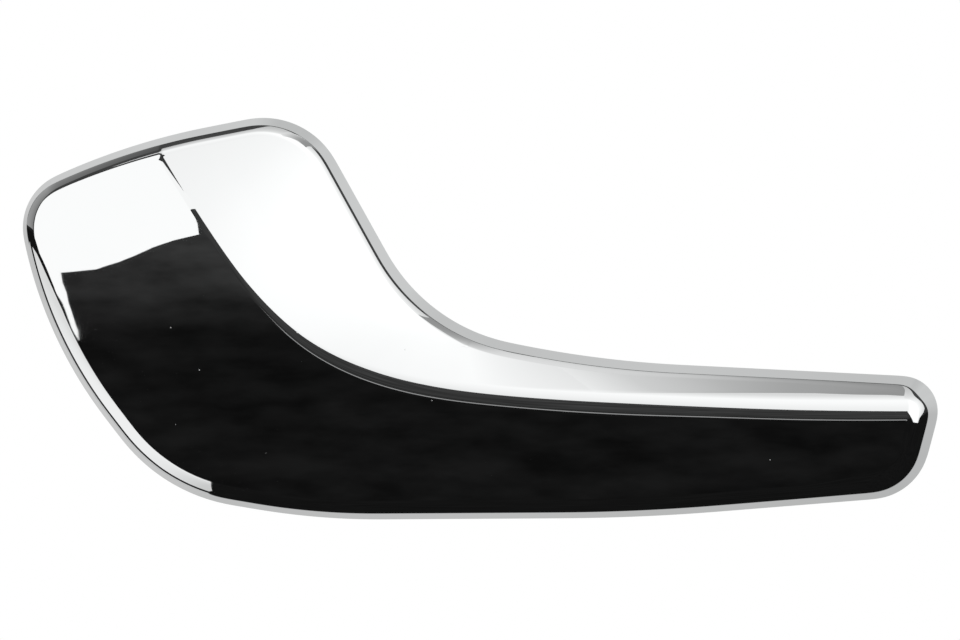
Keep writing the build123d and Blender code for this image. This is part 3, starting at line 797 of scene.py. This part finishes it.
def addPanel(name, panel, radius, material):
    corners = np.array(panel["outline"], float)
    edge = []
    for a, b in zip(corners, np.roll(corners, -1, axis=0)):
        parts = max(1, int(np.linalg.norm(b - a) / studio["gridStep"]))
        edge.extend(a + (b - a) * share for share in np.linspace(0, 1, parts, endpoint=False))
    edge = np.array(edge)
    low, high = edge.min(axis=0), edge.max(axis=0)
    x, y = np.meshgrid(*[np.arange(low[k], high[k], studio["gridStep"]) for k in (0, 1)])
    grid = np.c_[x.ravel(), y.ravel()]
    grid = grid[insideLoop(grid, edge) & clearOf(grid, edge, studio["gridStep"] / 3)]
    degrees = np.concatenate([edge, grid])
    level = np.interp(np.hypot(degrees[:, 0], degrees[:, 1]), *zip(*panel["glow"]))
    addCard(name, degrees, fillLoop(edge, grid), level * byTurn(degrees, panel), radius, material)


def addRound(name, part):
    # part of the tent between two angles from the line out of the door
    turns = np.radians(np.arange(0, 360, studio["gridStep"]))
    tilts = np.linspace(part["start"], part["end"], part["rows"])
    degrees = np.array([(t * math.cos(a), t * math.sin(a)) for t in tilts for a in turns])
    faces = ringFaces(part["rows"], len(turns))
    level = np.interp(degrees @ np.array(part["slope"]), *zip(*part["glow"]))
    material = glowMaterial(name, part["mottleMm"], part["mottle"])
    addCard(name, degrees, faces, level * byTurn(degrees, part), studio["clothRadius"], material)


def addFloor():
    material, tree = newTree("floor_pale_paper")
    paper = addNode(tree, "ShaderNodeBsdfPrincipled", {
        "Base Color": toLinear(studio["floorColour"]), "Roughness": studio["floorRoughness"]})
    addNode(tree, "ShaderNodeOutputMaterial", {"Surface": paper.outputs[0]})
    half = studio["floorHalf"]
    corners = np.array([(-half, -half, 0), (half, -half, 0), (half, half, 0), (-half, half, 0)], float)
    corners += np.array(studio["centre"]) - np.array([0, 0, studio["floorDrop"]])
    floor = linkMesh("floor", corners * mm, [(0, 1, 2, 3)], material)
    floor.visible_glossy = False


def addWorld():
    # white where it is seen directly or mirrored, dimmer as a light on the pieces
    world = bpy.data.worlds.new("white_room")
    world.use_nodes = True
    tree = world.node_tree
    tree.nodes.clear()
    path = addNode(tree, "ShaderNodeLightPath")
    seen = path.outputs["Is Camera Ray"]
    for ray in ("Is Glossy Ray", "Is Transmission Ray"):
        either = addNode(tree, "ShaderNodeMath", {0: seen, 1: path.outputs[ray]}, operation="MAXIMUM")
        seen = either.outputs[0]
    level = addNode(tree, "ShaderNodeMapRange", {
        "Value": seen, "To Min": studio["fill"], "To Max": studio["white"]})
    sky = addNode(tree, "ShaderNodeBackground", {"Color": (1, 1, 1, 1), "Strength": level.outputs[0]})
    addNode(tree, "ShaderNodeOutputWorld", {"Surface": sky.outputs[0]})
    scene.world = world


def addLamp():
    lamp = bpy.data.lights.new("soft_lamp", "AREA")
    lamp.energy = studio["lampPower"]
    lamp.size = studio["lampSize"]
    holder = bpy.data.objects.new("soft_lamp", lamp)
    holder.location = studio["lampPlace"]
    aim = Vector(studio["centre"]) * mm - holder.location
    holder.rotation_euler = aim.to_track_quat("-Z", "Y").to_euler()
    holder.visible_glossy = False
    scene.collection.objects.link(holder)


for name, part in rounds.items():
    addRound(name, part)
diffuser = glowMaterial("lit_diffuser", studio["diffuserMm"], studio["diffuserMottle"])
for name, panel in panels.items():
    radius = studio["flagRadius"] if "flag" in name else studio["panelRadius"]     # flags hang near
    addPanel(name, panel, radius, diffuser)
addFloor()
addWorld()
addLamp()
print("studio set,", len(panels), "panels")
